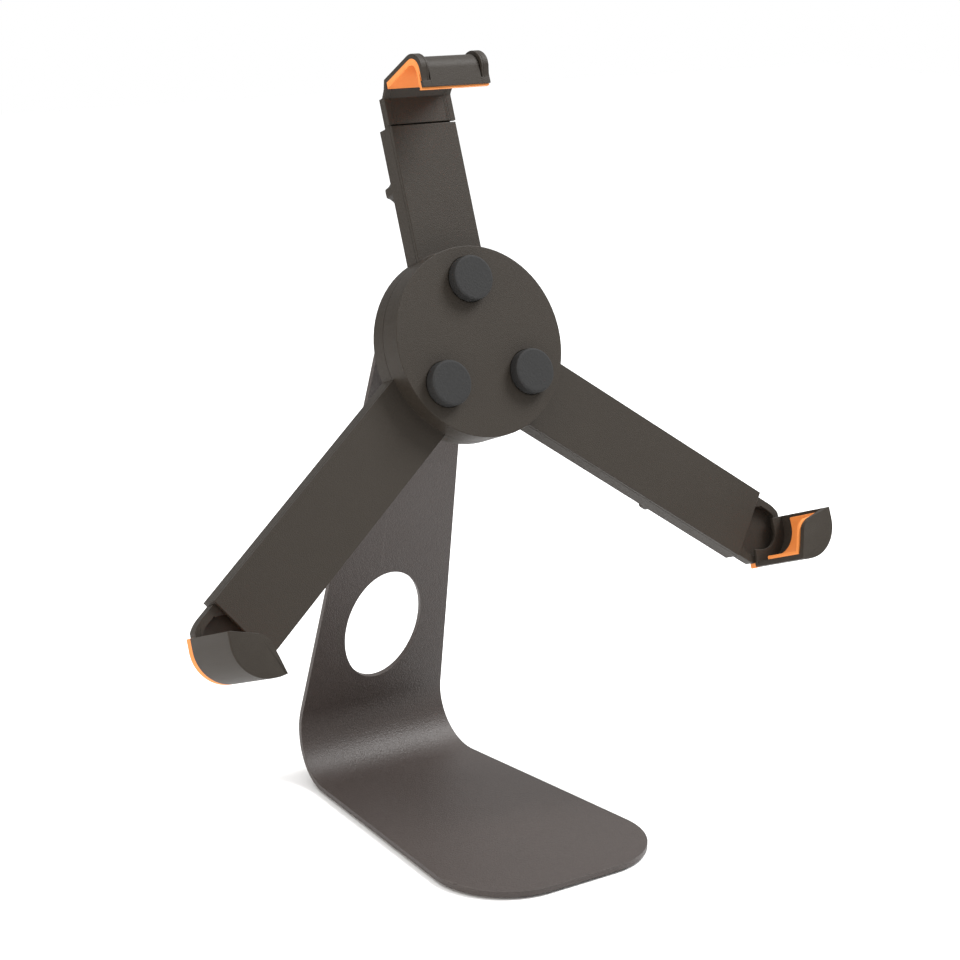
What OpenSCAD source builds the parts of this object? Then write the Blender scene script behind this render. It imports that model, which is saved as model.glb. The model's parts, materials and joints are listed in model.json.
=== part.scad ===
// Desk stand for a tablet: a bent steel foot, a tilt hinge, a swivel hub and
// three sliding arms whose claws hold the tablet by its edges.
// Origin on the underside of the foot, on the centre plane. X right, Y back, Z up.

/* [Foot plate] */
// Thickness of the bent steel plate
plate_t = 2; // [1.6:0.1:2.5]
// Thickness of the anti-slip mat under the foot
mat_t = 1; // [0.8:0.1:1.5]
// Margin between the mat and the edge of the plate
mat_inset = 4; // [2:0.5:8]
// Length of the flat foot, from its front edge to the start of the bend
foot_len = 119.5; // [110:0.5:135]
// How far the front edge stands ahead of the origin
foot_front = 60; // [55:1:70]
// Half width of the plate where its side edges meet the front edge line
front_half_w = 44.6; // [42:0.2:50]
// How much each side edge comes in per millimetre along the plate
side_taper = 0.083; // [0.07:0.001:0.09]
// Radius of the two front corners
front_corner_r = 27.7; // [20:0.1:30]
// Radius of the bend on its inner side
bend_r = 19; // [15:0.5:24]
// How far the upright leans forward, past vertical
upright_lean = 14.3; // [8:0.1:18]
// Length of the upright, from the end of the bend to its top
upright_len = 165.8; // [165:0.1:168]
// Radius of the two top corners
top_corner_r = 8; // [5:0.5:12]
// Height of the cable hole's centre above the end of the bend
hole_up = 32.9; // [30:0.1:40]
// Half width of the oval cable hole
hole_half_w = 16.9; // [12:0.1:18]
// Half height of the oval cable hole
hole_half_h = 23.3; // [18:0.1:26]

/* [Tilt hinge] */
// Height of the tilt axis above the end of the bend, along the upright
axis_up = 153.8; // [153:0.1:155]
// Distance of the tilt axis from the front of the upright
axis_out = 13.5; // [13.2:0.1:15]
// Radius of the tilt bolt
bolt_r = 3; // [2.5:0.1:3.2]
// Radius of the round end of each bracket ear
ear_r = 7.5; // [7.2:0.1:7.7]
// Thickness of the bracket and of its ears
bracket_t = 3; // [2.5:0.1:3.2]

/* [Holder] */
// How far the holder leans back from vertical
lean = 20.6; // [10:0.1:30]
// Distance from the tilt axis to the front of the tablet
axis_back = 38.5; // [38.5:0.1:40]
// Half width over the two lower claws
claw_side = 126.4; // [120:0.1:135]
// Drop from the hub's centre to the underside of the lower claws
claw_drop = 98.3; // [95:0.1:105]
// Outer corner radius of the lower claws
claw_r = 13; // [12.6:0.1:13.5]
// Thickness of a claw's wall
claw_t = 2; // [1.8:0.1:2.2]
// Half width of each sleeve
sleeve_half_w = 13.55; // [13.4:0.05:14]
// How far the arms slide out
arm_travel = 20; // [10:1:20]

/* [Hidden] */
$fn = 48;

// Fits and colours
run_gap = 0.05;
steel_dark = [0.30, 0.28, 0.27];
plastic_dark = [0.25, 0.24, 0.22];
orange = [0.92, 0.50, 0.20];
bright_steel = [0.75, 0.76, 0.78];
brass = [0.80, 0.65, 0.35];
rubber = [0.10, 0.10, 0.10];

// The plate is laid out flat by the distance s from its front edge, then bent.
plate_top = mat_t + plate_t;
bend_angle = 90 + upright_lean;
bend_len = bend_r * bend_angle * PI / 180;
plate_len = foot_len + bend_len + upright_len;
bend_y = foot_len - foot_front;
upright_y = bend_y + bend_r * sin(bend_angle);
upright_z = plate_top + bend_r * (1 - cos(bend_angle));
edge_slope = sqrt(1 + side_taper * side_taper);

// Lower arm: it runs from the hub to the centre of the claw's corner.
corner = [claw_side - claw_r, -(claw_drop - claw_r)];
lower_len = norm(corner);
lower_angle = atan2(corner.y, corner.x);
lower_sleeve = 135.6;
lower_lock = 100;
lower_stop = 126;
lower_inner = 62;
top_sleeve = 80;
top_lock = 60;
top_stop = 74;
top_inner = 40;
top_len = 91;
head_r = 12.45;
bar_half_w = 11.9;
channel_half_w = 12.05;
wall_top_v = -81;
wall_end_x = 108.6;

// Depths, measured forward from the front of the tablet
lip_front = 4;
lip_back = 1.7;
liner_back = -15.7;
pad_front = -9.6;
dome_front = -13.6;
dome_back = -15.6;
cover_front = -21.4;
cover_back = -22.9;
bar_front = -23.2;
pocket_floor = -26;
bar_back = -27.5;
floor_front = -27.8;
shell_back = -29.5;
band_front = -23.5;
band_back = -26.5;
flange_front = -21.6;
boss_back = -32;
disc_back = -30.95;
knuckle_back = -32.4;
knob_front = -32.8;
knob_back = -40.5;
hub_r = 34;
cavity_r = 31.5;
post_r = 24;
slot_y = 6.5;
pin_r = 1.5;

// ---- plate layout ----
function side_half_w(s) = front_half_w - side_taper * s;
function corner_x(s, r, s0, dir) = let (xc = side_half_w(s0 + dir * r) - r * edge_slope)
    xc + sqrt(max(0, r * r - pow(r - abs(s - s0), 2)));
function half_w(s, inset = 0, len = plate_len) =
    s < front_corner_r * (1 + side_taper) ? corner_x(s, front_corner_r, 0, 1)
    : s > len - top_corner_r * (1 - side_taper) ? corner_x(s, top_corner_r, len, -1)
    : side_half_w(s);
function bent(x, s, n) = s <= foot_len ? [x, s - foot_front, plate_top + n]
    : s <= foot_len + bend_len ? let (a = (s - foot_len) / bend_r * 180 / PI)
        [x, bend_y + (bend_r - n) * sin(a), plate_top + bend_r - (bend_r - n) * cos(a)]
    : let (u = s - foot_len - bend_len)
        [x, upright_y + u * cos(bend_angle) - n * sin(bend_angle),
            upright_z + u * sin(bend_angle) + n * cos(bend_angle)];
stations = concat(
    [for (a = [0 : 9 : 90]) front_corner_r * (1 - cos(a))],
    [foot_len * 0.6],
    [for (k = [0 : 20]) foot_len + bend_len * k / 20],
    [for (a = [90 : -15 : 0]) plate_len - top_corner_r * (1 - cos(a))]);

module on_upright() {
    translate([0, upright_y, upright_z]) rotate([bend_angle, 0, 0]) children();
}
module in_holder() {
    on_upright() translate([0, axis_up, axis_out]) rotate([-lean - upright_lean, 0, 0])
        translate([0, 0, axis_back]) children();
}
module on_arm(which) {
    in_holder()
        if (which == "top") rotate([0, 0, 90]) children();
        else mirror([which == "left" ? 1 : 0, 0, 0]) rotate([0, 0, lower_angle]) children();
}
module in_claw(which) {
    in_holder() mirror([which == "left" ? 1 : 0, 0, 0]) children();
}
module across(width) {
    // turns a profile drawn as (up, forward) into a solid centred on the middle plane
    translate([-width / 2, 0, 0]) rotate([90, 0, 90]) linear_extrude(width) children();
}
module slab(from, to) {
    translate([0, 0, from]) linear_extrude(to - from) children();
}
module ring(outer, inner, from, to) {
    slab(from, to) difference() {
        circle(outer);
        circle(inner);
    }
}

// ---- foot ----
module foot_plate() {
    rings = [for (s = stations) [bent(-half_w(s), s, 0), bent(half_w(s), s, 0),
        bent(half_w(s), s, -plate_t), bent(-half_w(s), s, -plate_t)]];
    last = 4 * (len(stations) - 1);
    color(steel_dark) difference() {
        polyhedron([for (r = rings) for (p = r) p], concat([[3, 2, 1, 0]],
            [for (k = [0 : len(stations) - 2]) for (i = [0 : 3]) for (t = [0, 1])
                let (a = 4 * k + i, b = 4 * k + (i + 1) % 4)
                t == 0 ? [a, b, b + 4] : [a, b + 4, a + 4]],
            [[last, last + 1, last + 2, last + 3]]));
        on_upright() {
            translate([0, hole_up, -plate_t - 1]) linear_extrude(plate_t + 2)
                polygon([for (a = [0 : 6 : 354]) [hole_half_w * cos(a), hole_half_h * sin(a)]]);
            bracket_holes(-plate_t - 1, 1);
        }
    }
}
module foot_mat() {
    edge = [for (a = [0 : 6 : 90]) let (s = front_corner_r * (1 - cos(a)))
        [half_w(s) - mat_inset, max(s, mat_inset) - foot_front]];
    back = bend_y - mat_inset;
    color(rubber) linear_extrude(mat_t) polygon(concat(edge,
        [[side_half_w(foot_len) - mat_inset, back], [-side_half_w(foot_len) + mat_inset, back]],
        [for (i = [len(edge) - 1 : -1 : 0]) [-edge[i].x, edge[i].y]]));
}

// ---- tilt hinge, drawn on the upright: x across, y up, z forward ----
screw_x = 6;
screw_up = [133, 142];
screw_r = 2;
bracket_low = 128;
bracket_high = 163.5;
bracket_half_w = 13;
barrel_half_w = 8.5;
ear_in = 9.7;
washer_r = 7;
washer_t = 1;
nut_r = 4;
nut_h = 3.2;
screw_head_r = 3.6;
screw_head_h = 2.2;
screw_key_r = 1.4;
thread_past = 1.2;
bolt_head_r = 5.6;
bolt_head_h = 4;
bolt_len = 34.5;
spring_r = 6.2;
spring_t = 0.8;
lock_nut_h = 4.5;
lock_nut_collar = 1.5;

module bracket_holes(from, to) {
    for (x = [-screw_x, screw_x], y = screw_up) translate([x, y, from])
        cylinder(r = screw_r + 0.1, h = to - from);
}
module on_tilt_axis(x) {
    translate([x, axis_up, axis_out]) rotate([0, 90, 0]) children();
}
module hinge_bracket() {
    color(steel_dark) on_upright() difference() {
        union() {
            translate([-bracket_half_w, bracket_low, 0])
                cube([2 * bracket_half_w, bracket_high - bracket_low, bracket_t]);
            for (x = [-ear_in - bracket_t, ear_in]) {
                on_tilt_axis(x) cylinder(r = ear_r, h = bracket_t);
                translate([x, axis_up - ear_r, bracket_t - 0.5])
                    cube([bracket_t, 2 * ear_r, axis_out - bracket_t + 0.5]);
            }
        }
        on_tilt_axis(-20) cylinder(r = bolt_r + run_gap, h = 40);
        bracket_holes(-1, bracket_t + 1);
    }
}
module bracket_screws() {
    color(bright_steel) on_upright() for (x = [-screw_x, screw_x], y = screw_up)
        translate([x, y, 0]) difference() {
            union() {
                slab(-plate_t - nut_h - thread_past, bracket_t) circle(screw_r);
                translate([0, 0, bracket_t])
                    cylinder(r1 = screw_head_r, r2 = screw_head_r - 0.6, h = screw_head_h);
            }
            slab(bracket_t + 1, bracket_t + screw_head_h + 1) circle(screw_key_r, $fn = 6);
        }
}
module bracket_nuts() {
    color(bright_steel) on_upright() for (x = [-screw_x, screw_x], y = screw_up)
        translate([x, y, -plate_t - nut_h]) difference() {
            cylinder(r = nut_r, h = nut_h, $fn = 6);
            translate([0, 0, -1]) cylinder(r = screw_r + run_gap, h = nut_h + 2);
        }
}
module tilt_bolt() {
    color(bright_steel) on_upright() {
        on_tilt_axis(-ear_in - bracket_t - 0.1) cylinder(r = bolt_r, h = bolt_len);
        on_tilt_axis(-ear_in - bracket_t - 0.1 - bolt_head_h)
            cylinder(r = bolt_head_r, h = bolt_head_h, $fn = 6);
    }
}
module tilt_disc_springs() {
    color(bright_steel) on_upright() for (k = [0, 1])
        on_tilt_axis(ear_in + bracket_t + 0.1 + (spring_t + 0.1) * k)
            ring(spring_r, bolt_r + 0.1, 0, spring_t);
}
module tilt_lock_nut() {
    color(bright_steel) on_upright() on_tilt_axis(ear_in + bracket_t + 2) difference() {
        union() {
            cylinder(r = bolt_head_r, h = lock_nut_h, $fn = 6);
            cylinder(r = bolt_head_r - 0.9, h = lock_nut_h + lock_nut_collar);
        }
        translate([0, 0, -1]) cylinder(r = bolt_r + run_gap, h = 8);
    }
}
module tilt_friction_washers() {
    color(rubber) on_upright() for (side = [-1, 1])
        on_tilt_axis(side > 0 ? ear_in - washer_t - 0.1 : -ear_in)
            ring(washer_r, bolt_r + 0.1, 0.05, washer_t + 0.05);
}

// ---- swivel head, drawn in the holder's frame ----
spindle_r = 4;
spindle_back = -35.2;
spindle_front = -18.5;
barrel_r = 7;
neck_half = 8.3;
friction_r = 8.4;
bush_r = 6;
bush_flange_r = 9;
nut_front = 8;

module swivel_knuckle() {
    color(steel_dark) in_holder() difference() {
        union() {
            translate([-barrel_half_w, 0, -axis_back]) rotate([0, 90, 0])
                cylinder(r = barrel_r, h = 2 * barrel_half_w);
            translate([-neck_half, -barrel_r, -axis_back])
                cube([2 * neck_half, 2 * barrel_r, axis_back + knuckle_back + 0.5]);
            slab(knuckle_back, disc_back) circle(friction_r);
        }
        translate([-10, 0, -axis_back]) rotate([0, 90, 0]) cylinder(r = bolt_r + run_gap, h = 20);
        translate([0, 0, spindle_back]) cylinder(r = spindle_r, h = 10);
    }
}
module swivel_spindle() {
    color(bright_steel) in_holder() slab(spindle_back, spindle_front) circle(spindle_r);
}
module swivel_friction_disc() {
    color(rubber) in_holder() ring(friction_r, spindle_r + 0.3, disc_back + 0.02, shell_back - 0.05);
}
module swivel_bush() {
    color([0.9, 0.9, 0.86]) in_holder() difference() {
        union() {
            slab(shell_back, floor_front + 1) circle(bush_r);
            slab(floor_front, floor_front + 1) circle(bush_flange_r);
        }
        slab(shell_back - 1, 0) circle(spindle_r + run_gap);
    }
}
module swivel_thrust_washer() {
    color(bright_steel) in_holder() ring(8.5, spindle_r + run_gap, floor_front + 1.05, floor_front + 2.05);
}
module swivel_wave_washer() {
    color(bright_steel) in_holder() ring(7.5, spindle_r + run_gap, floor_front + 2.1, floor_front + 3.4);
}
module swivel_nut() {
    color(bright_steel) in_holder() difference() {
        slab(floor_front + 3.5, floor_front + nut_front) circle(barrel_r, $fn = 6);
        slab(floor_front, 0) circle(spindle_r + run_gap);
    }
}

// ---- hub housing ----
function sleeve_len(which) = which == "top" ? top_sleeve : lower_sleeve;
function lock_at(which) = which == "top" ? top_lock : lower_lock;
function stop_at(which) = which == "top" ? top_stop : lower_stop;
post_angles = [270, (90 + lower_angle) / 2, 180 - (90 + lower_angle) / 2];
arms = ["top", "left", "right"];
boss_r = 7;
insert_r = 3.5;
insert_len = 2.8;
stud_r = 2.5;
lock_pad_r = 4.5;
thread_r = 1.5;
post_half = 4;
pad_r = 8;
pad_out = 22;

module arm_line(which) {
    if (which == "top") rotate(90) children();
    else mirror([which == "left" ? 1 : 0, 0]) rotate(lower_angle) children();
}
module housing_outline() {
    circle(hub_r);
    for (which = arms) arm_line(which) translate([hub_r / 2, -sleeve_half_w])
        square([sleeve_len(which) - hub_r / 2, 2 * sleeve_half_w]);
}
module post_places() {
    for (a = post_angles) rotate(a) translate([post_r, 0]) children();
    for (which = arms) arm_line(which) translate([post_r + 2, 0]) children();
}
module on_locks() {
    for (which = arms) arm_line(which) translate([lock_at(which), 0]) children();
}
module on_stops() {
    for (which = arms) arm_line(which) translate([stop_at(which), slot_y]) children();
}
module hub_rear_shell() {
    color(plastic_dark) in_holder() difference() {
        union() {
            difference() {
                slab(shell_back, cover_back - 0.05) housing_outline();
                slab(floor_front, 0) for (which = arms) arm_line(which)
                    translate([38, -channel_half_w]) square([120, 2 * channel_half_w]);
                slab(floor_front, 0) difference() {
                    circle(cavity_r);
                    post_places() circle(post_half);
                }
            }
            slab(boss_back, shell_back + 0.5) on_locks() circle(boss_r);
        }
        slab(shell_back - 1, 0) circle(bush_r + run_gap);
        slab(shell_back - 1, 0) post_places() circle(thread_r + run_gap);
        slab(shell_back - 1, shell_back + 1.2) post_places() circle(2 * thread_r);
        slab(boss_back - 1, 0) on_locks() circle(insert_r + run_gap);
        slab(boss_back + insert_len + 0.1, 0) on_locks() circle(lock_pad_r + 0.3);
        slab(shell_back - 1, 0) on_stops() circle(pin_r + run_gap);
    }
}
module hub_front_cover() {
    color(plastic_dark) in_holder() difference() {
        union() {
            slab(cover_back, cover_front) housing_outline();
            slab(cover_front - 0.5, dome_front) circle(hub_r);
        }
        slab(cover_back - 1, dome_back) difference() {
            circle(cavity_r);
            post_places() circle(post_half);
        }
        slab(cover_back - 1, dome_back) post_places() circle(thread_r + run_gap);
        slab(dome_front - 0.6, 0) pad_places() circle(pad_r + 0.1);
    }
}
module pad_places() {
    for (which = arms) arm_line(which) translate([pad_out, 0]) children();
}
module hub_rest_pads() {
    color(rubber) in_holder() slab(dome_front - 0.55, pad_front) pad_places() circle(pad_r);
}
module hub_screws() {
    color(bright_steel) in_holder() {
        slab(shell_back + 0.1, dome_back - 1) post_places() circle(thread_r);
        slab(shell_back + 0.1, shell_back + 1.15) post_places() circle(2 * thread_r - 0.1);
    }
}
module lock_inserts() {
    color(brass) in_holder() slab(boss_back, boss_back + insert_len) on_locks() difference() {
        circle(insert_r);
        circle(stud_r + run_gap);
    }
}
module lock_pads() {
    color(rubber) in_holder() slab(boss_back + insert_len + 0.25, bar_back - 0.1)
        on_locks() circle(lock_pad_r);
}
module stop_pins() {
    color(bright_steel) in_holder() slab(shell_back, pocket_floor) on_stops() circle(pin_r);
}

// ---- arms, drawn along x ----
bar_wall = 2.5;
head_wall = 2.7;
slot_gap = 0.2;
claw_thread_r = 0.95;
claw_screw_head_r = 1.9;
claw_screw_out = 9.6;
screw_head_t = 1.4;

module bar(inner, outer, stop) {
    // an arm with its head (the children), hollowed, with a slot for the stop pin
    difference() {
        slab(bar_back, bar_front) {
            translate([inner, -bar_half_w]) square([outer - inner, 2 * bar_half_w]);
            children();
        }
        slab(pocket_floor, 0) for (span = [[inner + 3, stop - 16], [stop - 13, outer - 6]])
            translate([span[0], -bar_half_w + bar_wall])
                square([span[1] - span[0], 2 * (bar_half_w - bar_wall)]);
        slab(bar_back - 1, 0) translate([stop - arm_travel, slot_y - pin_r - slot_gap])
            square([arm_travel, 2 * (pin_r + slot_gap)]);
        slab(bar_back - 1, 0) for (x = [stop - arm_travel, stop])
            translate([x, slot_y]) circle(pin_r + slot_gap);
    }
}
module head_outline(inset) {
    // round end of a lower arm, cut to fit inside its claw
    start = lower_sleeve + 0.3 + inset;
    intersection() {
        union() {
            translate([lower_len, 0]) circle(head_r - inset);
            translate([start, -head_r + inset]) square([lower_len - start, 2 * (head_r - inset)]);
        }
        rotate(-lower_angle) corner_region(claw_t + 0.05 + inset);
    }
}
module claw_screw_places() {
    for (a = [-12, -78]) translate(corner) rotate(a) translate([claw_screw_out, 0]) children();
}
module corner_region(inset) {
    // everything inside the outer faces of a lower claw, in the holder's plane
    c = claw_r - inset;
    translate(corner) circle(c);
    translate([corner.x - 60, corner.y - c]) square([60, c + 80]);
    translate([corner.x - 60, corner.y]) square([60 + c, 80]);
}
module lower_arm(which) {
    color(plastic_dark) difference() {
        on_arm(which) difference() {
            bar(lower_inner, lower_sleeve + 2, lower_stop) head_outline(0);
            slab(pocket_floor, 0) head_outline(head_wall);
        }
        in_claw(which) slab(bar_back - 1, 0) claw_screw_places() circle(claw_thread_r + run_gap);
    }
}
module lower_claw_outline(inset_out, inset_in, top_v = wall_top_v) {
    intersection() {
        difference() {
            corner_region(inset_out);
            corner_region(inset_in);
        }
        translate([wall_end_x, -claw_drop - 1]) square([claw_side, claw_drop + 1 + top_v]);
    }
}
module lip_outline() {
    intersection() {
        corner_region(0);
        offset(r = 4) offset(delta = -4) polygon([[wall_end_x, -claw_drop - 10], [112.2, -84.1],
            [claw_side + 10, -79.2], [claw_side + 10, -claw_drop - 10]]);
    }
}
module lower_claw_shell(which) {
    color(plastic_dark) in_claw(which) difference() {
        union() {
            slab(band_front, lip_front) lower_claw_outline(0, claw_t);
            slab(lip_back, lip_front) lip_outline();
            slab(bar_front + 0.1, flange_front) lower_claw_outline(1, 6.5);
        }
        slab(bar_front - 1, flange_front + 1) claw_screw_places() circle(claw_thread_r + run_gap);
    }
}
module lower_claw_liner(which) {
    color(orange) in_claw(which) {
        slab(liner_back, lip_back - 0.05)
            lower_claw_outline(claw_t + 0.05, claw_t + 1.55, wall_top_v - 1.2);
        slab(lip_back - 1.05, lip_back - 0.05) intersection() {
            lip_outline();
            corner_region(claw_t + 0.05);
        }
    }
}
module lower_claw_band(which) {
    color(orange) in_claw(which) slab(band_back, band_front - 0.02) lower_claw_outline(0, claw_t);
}
module lower_claw_screws(which) {
    color(bright_steel) in_claw(which) {
        slab(bar_back - screw_head_t, flange_front - 0.1) claw_screw_places() circle(claw_thread_r);
        slab(bar_back - screw_head_t, bar_back - 0.02) claw_screw_places() circle(claw_screw_head_r);
    }
}

// ---- top claw, drawn as (up, forward) and carried across ----
top_claw_w = 28;
rim_w = 3.4;
rib_count = 8;
rib_lip_tip = [0, -0.7];
rib_roof_tip = [-0.8, 0];
top_screw_up = 85.5;
top_screw_x = 6;
outer_path = [[86.7, 4], [95.6, 4], [97, 3.5], [97.9, 2.5], [98.1, 1.2], [95.3, -18.2], [94.2, -20.3],
    [92.6, -21.2], [90.5, -23.15], [80.6, -23.15]];
inner_path = [[80.6, -21.3], [89.7, -21.3], [91.8, -19.4], [92.9, -18.7], [93.6, -17.6], [96.4, 1.2],
    [96, 2], [95, 2.3], [86.7, 2.3]];
rim_path = [[90, 4], [93, 5], [95.8, 5.3], [98, 4.5], [99.2, 3], [99.5, 1.4], [96.7, -18], [95.3, -18.2],
    [98, 1.2], [97.8, 2.4], [96.9, 3.4], [95.5, 3.9]];
liner_path = [[92.6, -17.4], [93.55, -17.3], [96.35, 1.15], [95.95, 1.95], [94.95, 2.25], [86.2, 2.25],
    [86.2, 0.6]];
lip_ribs = [[87, 0.4], [92.6, 0.4]];
roof_ribs = [[93.9, -1], [92.6, -16.6]];

function rib_line(ends, count, tip) = [for (k = [0 : count], t = [0, 1])
    ends[0] + (ends[1] - ends[0]) * (k + 0.5 * t) / (count + 0.5) + tip * t];

module top_screw_places() {
    for (y = [-top_screw_x, top_screw_x]) translate([top_screw_up, y]) children();
}
module top_arm() {
    color(plastic_dark) on_arm("top") difference() {
        bar(top_inner, top_sleeve + 0.5, top_stop) translate([top_sleeve + 0.3, -head_r])
            square([top_len - top_sleeve - 0.3, 2 * head_r]);
        slab(bar_back - 1, 0) top_screw_places() circle(thread_r + run_gap);
    }
}
module top_claw_shell() {
    color(plastic_dark) in_holder() difference() {
        union() {
            across(top_claw_w) polygon(concat(outer_path, inner_path));
            for (side = [-1, 1]) translate([side * (top_claw_w - rim_w) / 2, 0, 0])
                across(rim_w) polygon(rim_path);
        }
        rotate([0, 0, 90]) slab(bar_back, cover_front) top_screw_places() circle(thread_r + run_gap);
    }
}
module top_claw_liner() {
    // fine ribs run across the claw, behind its lip and under its top wall
    teeth = concat(rib_line(lip_ribs, rib_count, rib_lip_tip), [[93.9, 0.3]],
        rib_line(roof_ribs, 2 * rib_count, rib_roof_tip));
    color(orange) in_holder() across(top_claw_w - 0.4) polygon(concat(liner_path, teeth));
}
module top_claw_screws() {
    color(bright_steel) on_arm("top") {
        slab(bar_back - screw_head_t, cover_front) top_screw_places() circle(thread_r);
        slab(bar_back - screw_head_t, bar_back - 0.02) top_screw_places() circle(2 * thread_r - 0.2);
    }
}

// ---- lock knobs ----
knob_r = 9.5;
knob_lobe_r = 4.6;
knob_lobe_out = 12.2;
stud_hold = 2;

module lock_knob(which) {
    color(plastic_dark) on_arm(which) translate([lock_at(which), 0, 0]) difference() {
        slab(knob_back, knob_front) difference() {
            circle(knob_r);
            for (a = [0 : 60 : 300]) rotate(a) translate([knob_lobe_out, 0]) circle(knob_lobe_r);
        }
        slab(knob_back + stud_hold, 0) circle(stud_r);
    }
}
module lock_stud(which) {
    color(bright_steel) on_arm(which) slab(knob_back + stud_hold, boss_back + insert_len + 0.2)
        translate([lock_at(which), 0]) circle(stud_r);
}

foot_plate();
foot_mat();
hinge_bracket();
bracket_screws();
bracket_nuts();
tilt_bolt();
tilt_disc_springs();
tilt_lock_nut();
tilt_friction_washers();
swivel_knuckle();
swivel_spindle();
swivel_friction_disc();
swivel_thrust_washer();
swivel_wave_washer();
swivel_nut();
hub_rear_shell();
hub_front_cover();
hub_screws();
hub_rest_pads();
swivel_bush();
lock_inserts();
lock_pads();
stop_pins();
top_arm();
top_claw_shell();
top_claw_liner();
top_claw_screws();
lower_arm("left");  // left_arm
lower_claw_shell("left");  // left_claw_shell
lower_claw_liner("left");  // left_claw_liner
lower_claw_band("left");  // left_claw_band
lower_claw_screws("left");  // left_claw_screws
lower_arm("right");  // right_arm
lower_claw_shell("right");  // right_claw_shell
lower_claw_liner("right");  // right_claw_liner
lower_claw_band("right");  // right_claw_band
lower_claw_screws("right");  // right_claw_screws
lock_knob("top");  // top_knob
lock_stud("top");  // top_knob_stud
lock_knob("left");  // left_knob
lock_stud("left");  // left_knob_stud
lock_knob("right");  // right_knob
lock_stud("right");  // right_knob_stud
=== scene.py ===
import bpy
import bmesh
import json
from math import atan, cos, degrees, radians, sin, sqrt
from mathutils import Euler, Matrix, Vector


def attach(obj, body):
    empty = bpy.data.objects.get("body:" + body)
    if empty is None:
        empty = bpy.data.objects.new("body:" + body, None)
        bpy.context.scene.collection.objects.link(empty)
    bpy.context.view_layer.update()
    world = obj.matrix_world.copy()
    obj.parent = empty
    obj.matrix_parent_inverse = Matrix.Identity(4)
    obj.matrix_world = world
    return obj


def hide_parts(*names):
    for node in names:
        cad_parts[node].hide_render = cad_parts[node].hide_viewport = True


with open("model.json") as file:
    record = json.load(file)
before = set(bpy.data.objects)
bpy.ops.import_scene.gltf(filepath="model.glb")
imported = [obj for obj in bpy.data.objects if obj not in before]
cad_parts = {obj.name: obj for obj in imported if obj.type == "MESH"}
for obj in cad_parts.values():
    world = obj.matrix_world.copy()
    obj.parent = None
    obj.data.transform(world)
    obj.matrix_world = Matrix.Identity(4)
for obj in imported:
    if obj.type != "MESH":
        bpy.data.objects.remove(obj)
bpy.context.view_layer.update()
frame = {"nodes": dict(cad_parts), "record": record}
mm = 0.001
joints = {joint["name"]: joint for joint in frame["record"]["behaviour"]["joints"]}
print("frame loaded,", len(frame["nodes"]), "nodes")

camera = {"distance": 0.760, "azimuth": -34.6, "elevation": 15.0, "lens": 84.7,
          "nearest": 0.01, "farthest": 20, "aim": Vector((-0.0223, -0.0283, 0.1414))}


def makeCamera():
    data = bpy.data.cameras.new("camera")
    data.lens = camera["lens"]
    data.clip_start, data.clip_end = camera["nearest"], camera["farthest"]
    cam = bpy.data.objects.new("camera", data)
    bpy.context.scene.collection.objects.link(cam)
    turn = Euler((radians(90 - camera["elevation"]), 0, radians(camera["azimuth"])))
    cam.rotation_euler = turn
    back = turn.to_matrix() @ Vector((0, 0, 1))
    cam.location = camera["aim"] + back * camera["distance"]
    bpy.context.scene.camera = cam


makeCamera()

holder = {"frontAheadOfSwivel": 25}

# the holder's own frame in millimetres: x across, y up along the tablet, z out of its front
hubAxis = Vector(joints["swivel"]["axis"])
holderUp = Vector(joints["top_arm_slide"]["axis"])
tabletFront = Vector(joints["swivel"]["pos_m"]) + hubAxis * holder["frontAheadOfSwivel"] * mm
holderPlace = Matrix.Translation(tabletFront) @ Matrix((
    (1, 0, 0, 0),
    (0, holderUp.y, hubAxis.y, 0),
    (0, holderUp.z, hubAxis.z, 0),
    (0, 0, 0, 1))) @ Matrix.Scale(mm, 4)
mirrored = Matrix.Diagonal((-1, 1, 1, 1))


def groupOf(name, inputs, outputs):
    tree = bpy.data.node_groups.new(name, "ShaderNodeTree")
    for label, value in inputs.items():
        socket = tree.interface.new_socket(label, in_out="INPUT", socket_type="NodeSocketFloat")
        socket.default_value = value
    for label in outputs:
        tree.interface.new_socket(label, in_out="OUTPUT", socket_type="NodeSocketFloat")
    return tree, tree.nodes.new("NodeGroupInput"), tree.nodes.new("NodeGroupOutput")


def mathNode(tree, operation, first, second=None, third=None):
    node = tree.nodes.new("ShaderNodeMath")
    node.operation = operation
    for slot, value in zip(node.inputs, (first, second, third)):
        if value is None:
            continue
        if isinstance(value, (int, float)):
            slot.default_value = value
        else:
            tree.links.new(value, slot)
    return node.outputs[0]


def noiseNode(tree, scale, detail=3, roughness=0.55):
    coord = tree.nodes.new("ShaderNodeTexCoord")
    noise = tree.nodes.new("ShaderNodeTexNoise")
    noise.inputs["Detail"].default_value = detail
    noise.inputs["Roughness"].default_value = roughness
    tree.links.new(coord.outputs["Object"], noise.inputs["Vector"])
    if isinstance(scale, (int, float)):
        noise.inputs["Scale"].default_value = scale
    else:
        tree.links.new(scale, noise.inputs["Scale"])
    return noise.outputs["Fac"]


# the edge entries set where outer edges turn lighter: partly rubbed wear, partly a painted
# highlight
wearing = {"fineToCells": 1.7, "pitShare": -0.6, "handledFrom": 0.52, "handledTo": 0.72,
           "breakGain": 1.6, "breakShift": -0.3, "streakSquash": 0.04, "patchesPerMetre": 30,
           "edgeStart": 0.53, "edgeEnd": 0.66, "edgeBreakup": 220, "streaksPerMetre": 1200,
           "handledRoughness": 0.08, "rubbedRoughness": -0.1}


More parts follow.
